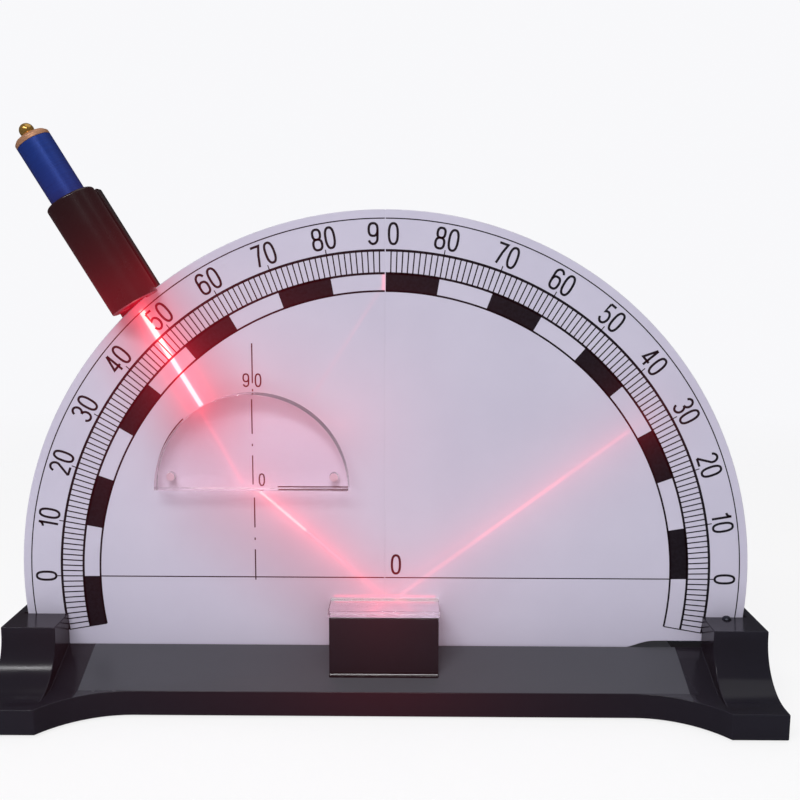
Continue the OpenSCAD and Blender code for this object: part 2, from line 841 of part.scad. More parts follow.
module button_spring() {
    color("silver") on_axis(cells_end + seat)
        coil(stem_r + 2 * wire_r + 0.5, disc_s - cells_end - 2 * seat, 3);
}

// Half-round acrylic block with two blind holes for its magnets
module prism() {
    y1 = face_y - prism_gap;
    color([0.9, 0.93, 1, 0.5]) difference() {
        along_y(y1 - prism_t, y1) intersection() {
            translate([aim_x, aim_z]) circle(prism_r);
            translate([aim_x - prism_r, aim_z]) square([2 * prism_r, prism_r]);
        }
        for (s = [-1, 1]) translate([aim_x + s * pmag_x, y1 + over, aim_z + pmag_z])
            rotate([90, 0, 0]) cylinder(r = pmag_r + seat, h = pmag_t + over + seat);
    }
}

module prism_magnets() {
    color("silver") for (s = [-1, 1])
        translate([aim_x + s * pmag_x, face_y - prism_gap, aim_z + pmag_z])
        rotate([90, 0, 0]) cylinder(r = pmag_r, h = pmag_t);
}

base();
rubber_feet();
stop_pin();
mirror_block();
block_screws();
mirror_pad();
mirror_glass();
left_board();
left_dial_film();
board_screws();
right_board();
right_dial_film();
fixed_leaves();
swing_leaves();
hinge_pins();
rim_magnet();
laser_holder();
magnet_bar();
laser_tube();
nose_ring();
line_lens();
lens_spacer();
collimating_lens();
lens_barrel();
laser_diode();
driver_board();
contact_spring();
button_cells();
tail_plug();
tail_button();
button_spring();
prism();
prism_magnets();
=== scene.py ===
# %% [markdown]
# # Laser reflection and refraction demonstrator
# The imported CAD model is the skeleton: every body, joint and size comes from it.
# This lesson dresses it. It rounds the edges of the mouldings, prints the dial,
# mixes a material for each finish, and lights the red rays on the board.
# The model's frame is in metres: X runs to the right, Y away from the viewer and Z
# up. Small sizes are written in millimetres and multiplied by MM.

# %% Load the frame and keep its box
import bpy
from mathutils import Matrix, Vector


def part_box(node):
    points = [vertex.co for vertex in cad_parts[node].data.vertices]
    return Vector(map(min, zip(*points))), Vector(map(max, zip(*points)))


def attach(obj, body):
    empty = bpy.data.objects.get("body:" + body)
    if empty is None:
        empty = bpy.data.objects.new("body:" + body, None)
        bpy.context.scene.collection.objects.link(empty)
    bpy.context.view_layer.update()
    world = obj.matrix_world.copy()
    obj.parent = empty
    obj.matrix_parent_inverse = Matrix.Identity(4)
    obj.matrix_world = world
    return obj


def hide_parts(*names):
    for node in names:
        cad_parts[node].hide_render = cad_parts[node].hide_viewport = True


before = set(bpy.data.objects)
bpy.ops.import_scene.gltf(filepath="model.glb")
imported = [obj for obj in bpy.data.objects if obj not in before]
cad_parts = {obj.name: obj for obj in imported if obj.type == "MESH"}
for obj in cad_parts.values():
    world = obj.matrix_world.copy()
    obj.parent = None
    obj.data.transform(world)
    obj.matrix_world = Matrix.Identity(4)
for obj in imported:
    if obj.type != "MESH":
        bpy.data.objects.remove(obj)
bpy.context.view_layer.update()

# %% Libraries and the unit
import math

import bmesh
import bpy
import numpy as np
from mathutils import Matrix, Vector

MM = 0.001
print("a millimetre is", MM, "of the frame's units")

# %% [markdown]
# ## The camera
# The photograph was taken from a little above the table, almost square to the
# board. Its place was worked out from points of known size on the board: the
# dial's rings, the seam and the ends of the base. A camera could be pointed with a
# Track To constraint, but a matrix built from its three axes holds the small roll
# as well, so that is used here.

# %% Place the camera
SENSOR_WIDTH, FOCAL_LENGTH = 36, 42.276
CAMERA_AT = (8.349, -376.713, 176.134)
PITCH, YAW, ROLL = 7.852, -0.351, 0.204


def axes_of_camera(pitch, yaw, roll):
    """Right, up and backward unit vectors: look along yaw and pitch, then roll about that line."""
    ahead = Vector((math.sin(yaw) * math.cos(pitch), math.cos(yaw) * math.cos(pitch),
                    -math.sin(pitch)))
    level = Vector((math.cos(yaw), -math.sin(yaw), 0))
    above = level.cross(ahead)
    right = level * math.cos(roll) + above * math.sin(roll)
    up = above * math.cos(roll) - level * math.sin(roll)
    return right, up, -ahead


lens = bpy.data.cameras.new("photo_camera")
lens.sensor_width = SENSOR_WIDTH
lens.lens = FOCAL_LENGTH
lens.clip_start = 10 * MM
camera = bpy.data.objects.new("photo_camera", lens)
bpy.context.scene.collection.objects.link(camera)
turn = Matrix(axes_of_camera(math.radians(PITCH), math.radians(YAW), math.radians(ROLL)))
camera.matrix_world = Matrix.Translation(Vector(CAMERA_AT) * MM) @ turn.transposed().to_4x4()
bpy.context.scene.camera = camera
bpy.context.scene.view_settings.view_transform = "Standard"
print("camera at", tuple(round(c, 3) for c in camera.location))

# %% [markdown]
# ## Tools for materials
# A shader graph is built from a few small helpers. One turns a colour picker's hex
# value into the linear light that the renderer adds up. One adds a node with its
# settings and links, whatever its kind. One starts a material on a Principled
# shader. Numbers that are the same all over a surface go straight onto the shader's
# sockets.

# %% Colour, node and material helpers
def linear(hex_code):
    """sRGB to linear light: a straight line below 0.04045, a power of 2.4 above it."""
    srgb = np.array([int(hex_code[i:i + 2], 16) for i in (1, 3, 5)]) / 255
    return (*np.where(srgb <= 0.04045, srgb / 12.92, ((srgb + 0.055) / 1.055) ** 2.4), 1.0)


def plug(tree, node, inputs):
    """Fills inputs with values, or links them to a socket or to a node's first output in use."""
    for name, value in inputs.items():
        if isinstance(value, bpy.types.Node):
            value = next(socket for socket in value.outputs if socket.enabled)
        if isinstance(value, bpy.types.NodeSocket):
            tree.links.new(value, node.inputs[name])
        else:
            node.inputs[name].default_value = value


def add(tree, kind, inputs=None, **settings):
    """Adds a shader node of a kind with its settings, and plugs its inputs."""
    node = tree.nodes.new("ShaderNode" + kind)
    for name, value in settings.items():
        setattr(node, name, value)
    plug(tree, node, inputs or {})
    return node


def start(name, colour, roughness, **sockets):
    """A new material, its node tree and its Principled shader, with constant sockets set."""
    material = bpy.data.materials.new(name)
    material.use_nodes = True
    tree = material.node_tree
    shader = tree.nodes["Principled BSDF"]
    plug(tree, shader, {"Base Color": linear(colour), "Roughness": roughness})
    plug(tree, shader, {name.replace("_", " "): value for name, value in sockets.items()})
    return material, tree, shader


def feeding(shader, name):
    """The output that is linked to a shader's socket, or None."""
    links = shader.inputs[name].links
    return links[0].from_socket if links else None


print("sRGB #808080 as linear light:", round(float(linear("#808080")[0]), 3))

# %% [markdown]
# ## Grain, paint and bump
# Real surfaces are never one number. Noise gives three things: a roughness that
# wanders, a colour that is a little uneven, and a bump in the normal. The pattern's
# size in millimetres sets its scale, because Object coordinates are metres here:
# one cell of noise is about 1 / scale across. Paint and bumps go on in layers, each
# over what the shader has already.

# %% Grain, paint, bump and worn edges
def grain(tree, size, span=None, detail=2.0, stretch=(1, 1, 1), turn=(0, 0, 0)):
    """Noise in cells of a size in mm. A span maps its middle, 0.3 to 0.7, onto (low, high)."""
    place = add(tree, "Mapping", {"Vector": add(tree, "TexCoord").outputs["Object"],
                                  "Rotation": turn, "Scale": stretch}, vector_type="TEXTURE")
    cells = add(tree, "TexNoise", {"Vector": place, "Scale": 1 / (size * MM), "Detail": detail})
    if span is None:
        return cells
    return add(tree, "MapRange", {"Value": cells, "From Min": 0.3, "From Max": 0.7,
                                  "To Min": span[0], "To Max": span[1]})


def paint(tree, shader, share, colour):
    """Lays a colour over the shader's Base Color by a share from 0 to 1."""
    under = feeding(shader, "Base Color") or tuple(shader.inputs["Base Color"].default_value)
    layer = add(tree, "Mix", {0: share, 6: under, 7: linear(colour)}, data_type="RGBA")
    plug(tree, shader, {"Base Color": layer})


def emboss(tree, shader, height, depth):
    """Bends the shader's normal by a height pattern that is depth millimetres deep."""
    inputs = {"Height": height, "Distance": depth * MM}
    if feeding(shader, "Normal"):
        inputs["Normal"] = feeding(shader, "Normal")
    plug(tree, shader, {"Normal": add(tree, "Bump", inputs)})


def worn_edges(tree, share):
    """A share that rises from 0 on outside edges, where hands polish and scratch."""
    edge = add(tree, "NewGeometry").outputs["Pointiness"]
    return add(tree, "MapRange", {"Value": edge, "From Min": 0.51, "From Max": 0.58,
                                  "To Min": 0, "To Max": share})


print("a grain of 0.8 mm is noise of scale", round(1 / (0.8 * MM)))

# %% [markdown]
# ## Red light that the rays scatter
# Laser light leaves a red haze on everything near its path: on the film, on the
# black ink and on the mouldings. Lamps alone can't make it, because black ink gives
# almost nothing back. One node group works out how far a point is from each way
# that the light takes, and its red falls off with that distance. Behind the board
# there is none. Two of the ways also paint shade and red light into the film's own
# colour, which turns darker and redder beside the first two rays. By the first ray
# this painted shade is the holder's shadow.
# Places on the board are (x, z) in millimetres.

# %% The ways that the light takes
LASER_TILT = math.radians(31)
AIM = np.array([-math.sin(LASER_TILT), math.cos(LASER_TILT)])
# The film's front face, on which the ink and the rays lie
INK_Y = -1.0
# The middle of the prism's flat side, and the place beside it that the laser points at
PRISM = np.array([-53.5, 88.3])
AIMED = PRISM - [0.6, 0.35]
MIRROR_SPOT = (-1.0, 42.4)
RIGHT_END = (104, 116)

# Two ends of each way, and (strength, reach in mm) of each exponential fall of its haze
WAYS = {
    "laser to prism": (AIMED + 90 * AIM, AIMED + 42 * AIM, [(0.8, 4.5), (0.19, 15)]),
    "prism to mirror": (PRISM, MIRROR_SPOT, [(0.2, 5), (0.05, 18), (0.05, 42)]),
    "mirror to right end": (MIRROR_SPOT, RIGHT_END, [(0.12, 9)]),
    "thrown up by prism": ((-56, 128), (-18, 114), [(0.18, 22)]),
    "painted shade below prism": ((-61, 80), (-16, 43), []),
}
# For each patch of painted shade and red light on the film, an output of the group:
# its way, its half width in mm and its greatest share
PAINTED_SHADE_OUTPUTS = {"Painted Shade Near First": ("laser to prism", 34, 0.46), "Painted Shade Near Second": ("painted shade below prism", 38, 0.2)}
# The haze is whole in front of the first depth and gone behind the second
HAZE_FRONT, HAZE_BACK = -0.5, 9
HAZE_COLOUR = (1.0, 0.015, 0.045, 1.0)
print("ways of the light:", ", ".join(WAYS))

# %% The glow's node group
glow = bpy.data.node_groups.new("ray_glow", "ShaderNodeTree")
for socket in ("Red", *PAINTED_SHADE_OUTPUTS):
    glow.interface.new_socket(name=socket, in_out="OUTPUT", socket_type="NodeSocketFloat")


def distance_to(tree, first, last):
    """Millimetres from a point to the line between two board places, its ends included."""
    a, b = (Vector((x, INK_Y, z)) * MM for x, z in (first, last))
    point = add(tree, "VectorMath", {0: add(tree, "TexCoord").outputs["Object"], 1: a},
                operation="SUBTRACT")
    share = add(tree, "VectorMath", {0: point, 1: (b - a) / (b - a).length_squared},
                operation="DOT_PRODUCT")
    share = add(tree, "Clamp", {"Value": share})
    foot = add(tree, "VectorMath", {0: b - a, "Scale": share}, operation="SCALE")
    off = add(tree, "VectorMath", {0: point, 1: foot}, operation="DISTANCE")
    return add(tree, "Math", {0: off, 1: MM}, operation="DIVIDE")


away = {way: distance_to(glow, first, last) for way, (first, last, _) in WAYS.items()}
red = 0.0
for way, (_, _, falls) in WAYS.items():
    for strength, reach in falls:
        fall = add(glow, "Math", {0: math.exp(-1 / reach), 1: away[way]}, operation="POWER")
        red = add(glow, "Math", {0: fall, 1: strength, 2: red}, operation="MULTIPLY_ADD")
depth = add(glow, "SeparateXYZ", {0: add(glow, "TexCoord").outputs["Object"]}).outputs["Y"]
front = add(glow, "MapRange", {"Value": depth, "From Min": HAZE_FRONT * MM,
                               "From Max": HAZE_BACK * MM, "To Min": 1, "To Max": 0})
red = add(glow, "Math", {0: red, 1: front}, operation="MULTIPLY")
glow_out = glow.nodes.new("NodeGroupOutput")
plug(glow, glow_out, {"Red": red})
for socket, (way, width, share) in PAINTED_SHADE_OUTPUTS.items():
    near = add(glow, "MapRange", {"Value": away[way], "From Min": 0, "From Max": width,
                                  "To Min": share, "To Max": 0}, interpolation_type="SMOOTHSTEP")
    plug(glow, glow_out, {socket: near})


def lit_red(tree, shader, share=1.0):
    """Gives a material a share of the red haze, and returns the glow's node."""
    node = tree.nodes.new("ShaderNodeGroup")
    node.node_tree = glow
    haze = add(tree, "Math", {0: node.outputs["Red"], 1: share}, operation="MULTIPLY")
    plug(tree, shader, {"Emission Strength": haze, "Emission Color": HAZE_COLOUR})
    return node


print("glow nodes:", len(glow.nodes))

# %% [markdown]
# ## Moulded black plastics
# The base and the mirror block are injection-moulded ABS from a polished mould:
# deep black, glossy, with the faint waviness that moulded walls have over their
# ribs. The holder is the same plastic from a satin mould. Each gets a slow wave for
# the reflections, a fine grain, and slightly paler edges. The block is the
# glossiest, so it has a clear coat.

# %% Moulded ABS
def moulded(name, colour, edge, gloss, wave, fine, share=1.0, coat=0.0, shine=0.5):
    """Black ABS: gloss is its range of roughness, wave and fine are bump depths in mm."""
    material, tree, shader = start(name, colour, gloss[0], IOR=1.53, Coat_Weight=coat,
                                   Specular_IOR_Level=shine)
    plug(tree, shader, {"Roughness": grain(tree, 9, gloss, detail=4)})
    paint(tree, shader, worn_edges(tree, 0.4), edge)
    emboss(tree, shader, grain(tree, 22, detail=1), wave)
    emboss(tree, shader, grain(tree, 0.8), fine)
    lit_red(tree, shader, share)
    return material, tree, shader


base_abs, tree, shader = moulded("base_abs_polished", "#1d1d24", "#303039", (0.15, 0.2), 0.04,
                                 0.0015, shine=0.25)
block_abs, *_ = moulded("block_abs_polished", "#0b0b10", "#34333c", (0.08, 0.12), 0.02, 0.001,
                        share=0.35, coat=1.0)
holder_abs, *_ = moulded("holder_abs_satin", "#131012", "#3b3537", (0.2, 0.28), 0.01, 0.001)
print("moulded plastics:", base_abs.name, block_abs.name, holder_abs.name)

# %% [markdown]
# ## The softer deck between the polished ends, with its painted reflection
# The deck between the two end blocks is softer, as a blasted part of the mould
# leaves it, and it shows less of the red. It is also painted a shade lighter, as a
# painted reflection of the white board that the glossy deck mirrors. The lighter
# paint stops short of each end block, and the dark strip left there is the block's
# painted reflection. It is the same moulding, so it isn't a second material: its
# zone is worked out from Object coordinates, and the zone changes three of the base's
# sockets.

# %% Soften the base's deck
# Where the deck's lighter paint ends and the dark strip of painted block reflection begins,
# and the top of the plinth, each with its blur
BLOCK_REFLECTION_FROM, BLOCK_BLUR = 121, 0.2
PLINTH_TOP, PLINTH_BLUR = 11, 0.1
# The deck's lighter colour is a painted reflection of the white board in the glossy deck
DECK_PAINTED_REFLECTION, DECK_ROUGHER, DECK_HAZE = "#4d4d53", 0.16, 0.2

place = add(tree, "SeparateXYZ", {0: add(tree, "TexCoord").outputs["Object"]}).outputs
side = add(tree, "Math", {0: place["X"]}, operation="ABSOLUTE")
inside = add(tree, "MapRange", {"Value": side, "To Min": 1, "To Max": 0,
                                "From Min": (BLOCK_REFLECTION_FROM - BLOCK_BLUR) * MM,
                                "From Max": (BLOCK_REFLECTION_FROM + BLOCK_BLUR) * MM})
raised = add(tree, "MapRange", {"Value": place["Z"],
                                "From Min": (PLINTH_TOP - PLINTH_BLUR) * MM,
                                "From Max": (PLINTH_TOP + PLINTH_BLUR) * MM})
deck = add(tree, "Math", {0: inside, 1: raised}, operation="MULTIPLY")
rougher = add(tree, "Math", {0: deck, 1: DECK_ROUGHER, 2: feeding(shader, "Roughness")},
              operation="MULTIPLY_ADD")
kept_red = add(tree, "MapRange", {"Value": deck, "To Min": 1, "To Max": DECK_HAZE})
haze = add(tree, "Math", {0: feeding(shader, "Emission Strength"), 1: kept_red},
           operation="MULTIPLY")
plug(tree, shader, {"Roughness": rougher, "Emission Strength": haze})
# Painted reflection: the deck is lighter for the board that it mirrors and dark beside the end
# blocks
paint(tree, shader, deck, DECK_PAINTED_REFLECTION)
print("nodes in the base's material:", len(tree.nodes))

# %% [markdown]
# ## Board, film and ink
# The board is a steel sheet with white enamel, which shows at its edge and back:
# hard, glossy, with a slight orange peel. Its front carries a laminated film with
# the dial printed on it. The film is a cool lavender white and softly glossy, and
# the ink on it is a dense black that is a little more matt.

# %% Enamel, film and ink
board_enamel, tree, shader = start("board_white_enamel", "#dedbe6", 0.22, IOR=1.5)
paint(tree, shader, grain(tree, 30, (0, 1)), "#d4d1dd")
emboss(tree, shader, grain(tree, 1.6, detail=1), 0.006)

# Painted shade and red light: the darker red that the film turns beside the first two rays
PAINTED_SHADE_RED = "#bc415d"
dial_film, tree, shader = start("dial_laminated_film", "#d5d1e3", 0.42, IOR=1.47)
haze = lit_red(tree, shader)
paint(tree, shader, grain(tree, 45, (0, 1), detail=3), "#cfcbde")
# Painted shade and red light beside the first two rays, by the first one the holder's painted
# shadow
paint(tree, shader, haze.outputs["Painted Shade Near Second"], PAINTED_SHADE_RED)
paint(tree, shader, haze.outputs["Painted Shade Near First"], PAINTED_SHADE_RED)
plug(tree, shader, {"Roughness": grain(tree, 3, (0.38, 0.5))})
emboss(tree, shader, grain(tree, 0.7), 0.002)

dial_ink, tree, shader = start("dial_black_ink", "#121219", 0.5, IOR=1.45, Specular_IOR_Level=0.3)
paint(tree, shader, grain(tree, 1.2, (0, 1)), "#1c1c25")
emboss(tree, shader, grain(tree, 0.4), 0.001)
lit_red(tree, shader)
print("board finishes:", board_enamel.name, dial_film.name, dial_ink.name)

# %% [markdown]
# ## Metals
# A metal's colour is its reflection, so each is Metallic 1 with the default IOR.
# What tells them apart is how they were finished: rolled sheet has lines along it,
# turned parts have rings round their axis, plating is smooth with small pits, and
# anodised aluminium keeps the turning marks under a dyed, slightly soft skin. The
# dyed skin and a dull oxide film scatter light too, so those are less than Metallic 1.

# %% Metal finishes
def metal(name, colour, other, gloss, cell, depth, stretch=(1, 1, 1), turn=(0, 0, 0), bare=1.0,
          share=1.0):
    """A metal: two tones, a range of roughness, and lines or pits cell mm wide, depth mm deep."""
    material, tree, shader = start(name, colour, gloss[0], Metallic=bare)
    lines = dict(detail=3, stretch=stretch, turn=turn)
    paint(tree, shader, grain(tree, cell, (0, 1), **lines), other)
    plug(tree, shader, {"Roughness": grain(tree, cell * 6, gloss, detail=3)})
    emboss(tree, shader, grain(tree, cell, **lines), depth)
    lit_red(tree, shader, share)
    return material


RINGS = dict(stretch=(40, 40, 1), turn=(0, -LASER_TILT, 0))
ALONG = dict(stretch=(1, 1, 30))
blue_anodised = metal("blue_anodised_aluminium", "#1b439c", "#173b8c", (0.34, 0.4), 0.35, 0.0002,
                      bare=0.42, **RINGS)
tail_copper = metal("turned_copper", "#d9a27e", "#c89370", (0.36, 0.48), 0.3, 0.002, bare=0.5,
                    **RINGS)
button_brass = metal("polished_brass", "#d8ab5c", "#c39a4c", (0.16, 0.24), 0.4, 0.0006, bare=0.75,
                     **RINGS)
hinge_steel = metal("rolled_steel", "#b9babd", "#a3a4a8", (0.28, 0.42), 0.5, 0.004, share=0.0,
                    **ALONG)
screw_zinc = metal("zinc_plated_steel", "#b4b6b8", "#9da0a4", (0.24, 0.38), 0.6, 0.003)
pin_steel = metal("blackened_steel", "#4a4c55", "#35363d", (0.3, 0.45), 0.5, 0.004, share=0.0)
magnet_nickel = metal("nickel_plating", "#c3bfb6", "#b2aea5", (0.12, 0.22), 0.8, 0.002)
cell_steel = metal("nickel_plated_cells", "#c7c8ca", "#b3b5b8", (0.18, 0.3), 0.7, 0.002, **RINGS)
mirror_silver = metal("mirror_silvering", "#f7f6f8", "#f0f0f3", (0.01, 0.03), 20, 0.0, share=0.2)
print("materials so far:", len(bpy.data.materials))

# %% [markdown]
# ## Glass and acrylic
# The prism is cast acrylic, IOR 1.49, and the mirror and lenses are glass, 1.52.
# Light that crosses a refracting body to reach the board is a caustic, which takes
# very many samples. So for shadow rays the material is plainly transparent. Light
# that comes in through the curved side is bent away from the board, which leaves a
# grey band under the arc, so the sides pass less of it than the faces do.

# %% Clear materials
def clear(name, colour, ior, roughness=0.0, side="#f4f1f4", face="#fbf9fb"):
    """A refracting body that lets shadow rays through: side and face say how much of them."""
    material, tree, shader = start(name, colour, roughness, IOR=ior, Transmission_Weight=1.0)
    across = add(tree, "SeparateXYZ", {0: add(tree, "TexCoord").outputs["Normal"]}).outputs["Y"]
    facing = add(tree, "Math", {0: across}, operation="ABSOLUTE")
    shade = add(tree, "Mix", {0: facing, 6: linear(side), 7: linear(face)}, data_type="RGBA")
    through = add(tree, "BsdfTransparent", {"Color": shade})
    shadow = add(tree, "LightPath").outputs["Is Shadow Ray"]
    blend = add(tree, "MixShader", {0: shadow, 1: shader, 2: through})
    plug(tree, tree.nodes["Material Output"], {"Surface": blend})
    emboss(tree, shader, grain(tree, 12, detail=1), 0.001)
    return material


prism_acrylic = clear("prism_cast_acrylic", "#f7eef0", 1.49, 0.01, side="#b9adb1")
mirror_glass = clear("mirror_float_glass", "#fdfbfd", 1.52)
lens_glass = clear("lens_glass", "#f4f7fa", 1.52)
print("clear materials:", prism_acrylic.name, mirror_glass.name, lens_glass.name)

# %% [markdown]
# ## Small finishes
# The prism's magnets are dipped in a pale epoxy. Its pink tone is painted red light from
# the rays beside it, and it takes on the red haze as well.
# The feet are moulded rubber, matt with a fine grain, the mirror's pad is an open
# foam, and the spacer between the lenses is black acetal. Each of them is one
# colour with a bump of its own grain. The laser's circuit board is green solder
# mask, paler where copper lies under it.

# %% Epoxy, rubber, foam, acetal and solder mask
def plain(name, colour, roughness, cell, depth):
    """One colour and roughness, with a grain cell mm wide and depth mm deep."""
    material, tree, shader = start(name, colour, roughness)
    emboss(tree, shader, grain(tree, cell), depth)
    return material, tree, shader


# Pale epoxy whose pink tone is painted red light from the rays beside it
magnet_coat, tree, shader = plain("prism_magnet_epoxy", "#cfbac7", 0.55, 0.8, 0.002)
lit_red(tree, shader)
foot_rubber, *_ = plain("foot_rubber", "#1b1b1c", 0.75, 0.5, 0.01)
pad_foam, *_ = plain("adhesive_foam", "#cfcdc8", 0.9, 0.6, 0.03)
black_plastic, *_ = plain("black_acetal", "#161616", 0.4, 0.5, 0.003)
circuit_board, tree, shader = start("circuit_board_solder_mask", "#1f5a34", 0.35)
tracks = add(tree, "MapRange", {"Value": grain(tree, 1.5), "From Min": 0.45, "From Max": 0.5})
paint(tree, shader, tracks, "#2c7144")
print("materials so far:", len(bpy.data.materials))

# %% [markdown]
# ## Rounded edges
# No moulded or machined edge is a perfect corner: it has a small radius that
# catches the light as a bright line. The CAD solids have sharp edges, and their
# meshes come in as loose triangles. A copy is welded, flat areas are cleared of
# inner edges, and a Bevel modifier rounds every edge that turns by over 30 degrees.
# Hardened normals keep the flat faces flat beside it.

# %% Soften the visible solids
WELD = 0.002
FLAT_WITHIN, ROUND_OVER = math.radians(0.15), math.radians(30)


def welded(node, name):
    """A node's mesh as a new object: doubles joined, and triangles that share a plane merged."""
    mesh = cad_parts[node].data.copy()
    mesh.name = name
    mesh.materials.clear()
    work = bmesh.new()
    work.from_mesh(mesh)
    bmesh.ops.remove_doubles(work, verts=work.verts, dist=WELD * MM)
    bmesh.ops.dissolve_limit(work, angle_limit=FLAT_WITHIN, verts=work.verts, edges=work.edges)
    for face in work.faces:
        face.smooth = True
    work.to_mesh(mesh)
    work.free()
    if "custom_normal" in mesh.attributes:
        mesh.attributes.remove(mesh.attributes["custom_normal"])
    piece = bpy.data.objects.new(name, mesh)
    bpy.context.scene.collection.objects.link(piece)
    return piece


def soften(node, body, radius, material, slot):
    """Replaces a node by its welded copy with edges rounded to the radius, in mm."""
    piece = welded(node, node + "_skin")
    piece.data.materials.append(material)
    bevel = piece.modifiers.new("rounded_edges", "BEVEL")
    bevel.width = radius * MM
    bevel.segments = 2
    bevel.limit_method = "ANGLE"
    bevel.angle_limit = ROUND_OVER
    bevel.use_clamp_overlap = False
    bevel.harden_normals = True
    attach(piece, body)
    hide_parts(node)
    return piece


SOFTENED = [
    ("base", "stand", 0.4, base_abs, "base_abs"),
    ("mirror_block", "stand", 0.35, block_abs, "block_abs"),
    ("stop_pin", "stand", 0.15, pin_steel, "dark_steel"),
    ("mirror_glass", "stand", 0.2, mirror_glass, "mirror"),
    ("left_board", "stand", 0.2, board_enamel, "board_enamel"),
    ("right_board", "folding_half", 0.2, board_enamel, "board_enamel"),
    ("laser_holder", "holder", 0.35, holder_abs, "holder_abs"),
    ("magnet_bar", "holder", 0.35, holder_abs, "holder_abs"),
    ("laser_tube", "laser", 0.15, blue_anodised, "blue_anodised"),
    ("tail_plug", "laser", 0.15, tail_copper, "copper_flange"),
    ("tail_button", "button", 0.15, button_brass, "brass"),
    ("prism", "prism", 0.25, prism_acrylic, "prism_acrylic"),
]
skins = {row[0]: soften(*row) for row in SOFTENED}
print("softened:", ", ".join(skins))

# %% [markdown]
# ## The nodes that stay as they are
# Screws, hinges, feet and the laser's inner stack are small or hidden, and their
# CAD meshes are already the true shape. They keep their meshes and only get a
# material each.

# %% Dress the nodes that stay
STAYING = {
    "rubber_feet": foot_rubber, "block_screws": screw_zinc, "mirror_pad": pad_foam,
    "left_dial_film": dial_film, "right_dial_film": dial_film, "board_screws": screw_zinc,
    "fixed_leaves": hinge_steel, "swing_leaves": hinge_steel, "hinge_pins": hinge_steel,
    "rim_magnet": magnet_nickel, "nose_ring": button_brass, "line_lens": lens_glass,
    "lens_spacer": black_plastic, "collimating_lens": lens_glass, "lens_barrel": button_brass,
    "laser_diode": cell_steel, "driver_board": circuit_board, "contact_spring": hinge_steel,
    "button_cells": cell_steel, "button_spring": hinge_steel, "prism_magnets": magnet_coat,
}
for node, material in STAYING.items():
    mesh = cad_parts[node].data
    if not mesh.materials:
        mesh.materials.append(material)
    for i in range(len(mesh.materials)):
        mesh.materials[i] = material
print("nodes that keep their mesh:", len(STAYING))

# %% [markdown]
# ## The silvering under the mirror glass
# A plane mirror is float glass with silver on its back. Seen from above, the glass
# is only a clear layer over the reflection. A thin plate under it is the silver. A
# flat grid is enough for it, and a Solidify modifier makes it a closed body.

# %% Mirror silver
SILVER_INSET, SILVER_LIFT, SILVER_THICK = 0.25, 0.12, 0.05


def surface(name, points, material, body, closed=False):
    """A mesh from a grid of points [u, v, xyz] in metres, as quads between neighbours."""
    rows, cols = points.shape[:2]
    index = np.arange(rows * cols).reshape(rows, cols)
    u = np.hstack([index, index[:, :1]]) if closed else index
    quads = np.stack([u[:-1, :-1], u[:-1, 1:], u[1:, 1:], u[1:, :-1]], axis=-1).reshape(-1, 4)
    mesh = bpy.data.meshes.new(name)
    mesh.from_pydata(points.reshape(-1, 3).tolist(), [], quads.tolist())
    mesh.materials.append(material)
    piece = bpy.data.objects.new(name, mesh)
    bpy.context.scene.collection.objects.link(piece)
    if body:
        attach(piece, body)
    return piece


low, high = (np.array(corner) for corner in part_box("mirror_glass"))
x = np.linspace(low[0] + SILVER_INSET * MM, high[0] - SILVER_INSET * MM, 12)
y = np.linspace(low[1] + SILVER_INSET * MM, high[1] - SILVER_INSET * MM, 6)
plate = np.stack([*np.meshgrid(x, y), np.full((6, 12), low[2] + SILVER_LIFT * MM)], axis=-1)
silver = surface("mirror_silver", plate, mirror_silver, "stand")
silver.modifiers.new("thickness", "SOLIDIFY").thickness = SILVER_THICK * MM
print("silver plate:", silver.dimensions[:])

# %% [markdown]
# ## The dial
# The scale is printed with round-cornered digits, rings, ticks and black blocks.
# Text objects could write the digits, but a font's outline is hard to match to the
# narrow figures here, so each digit is a centre line of arcs and straights. One
# function widens any centre line to a flat band, and rings, ticks, blocks and
# digits are all such bands. A Solidify modifier gives the ink its thickness.

# %% Bands of ink
def band(path, width, closed=False):
    """Left and right edges of a centre line: each point moves half a width along its mitre."""
    path = np.asarray(path, float)
    ahead = np.roll(path, -1, 0) - path if closed else np.diff(path, axis=0)
    ahead /= np.linalg.norm(ahead, axis=1)[:, None]
    behind = np.roll(ahead, 1, 0) if closed else np.vstack([ahead[:1], ahead])
    ahead = ahead if closed else np.vstack([ahead, ahead[-1:]])
    across = np.stack([-(ahead + behind)[:, 1], (ahead + behind)[:, 0]], axis=1)
    across /= np.maximum((across * np.stack([-ahead[:, 1], ahead[:, 0]], 1)).sum(1), 0.5)[:, None]
    left, right = path + across * width / 2, path - across * width / 2
    if closed:
        left, right = (np.vstack([side, side[:1]]) for side in (left, right))
    return left, right


def arc(centre, radius, first, last, steps=12):
    """Points of an arc from the first to the last angle in degrees; radius may be (rx, rz)."""
    rx, rz = radius if isinstance(radius, tuple) else (radius, radius)
    angle = np.radians(np.linspace(first, last, steps + 1))
    return np.stack([centre[0] + rx * np.cos(angle), centre[1] + rz * np.sin(angle)], axis=1)


print("points of a quarter arc:", len(arc((0, 0), 1, 0, 90)))

# %% [markdown]
# ## The digits
# Every digit fits one cell, so it is written as a few centre lines in a frame W to
# each side of the middle and H high. Bowls are arcs or ovals. A nine is a six
# turned by half a turn. A number is its digits side by side, turned to stand
# upright towards the rim.

# %% Digits as centre lines
W, H = 1.82, 8.05


def oval(z, half_width, half_height):
    """A closed oval whose sides are flatter than an ellipse's: powers of 0.8 of cos and sin."""
    angle = np.linspace(0, 2 * math.pi, 33)[:-1]
    c, s = np.cos(angle), np.sin(angle)
    return np.stack([half_width * np.sign(c) * abs(c) ** 0.8,
                     z + half_height * np.sign(s) * abs(s) ** 0.8], axis=1)


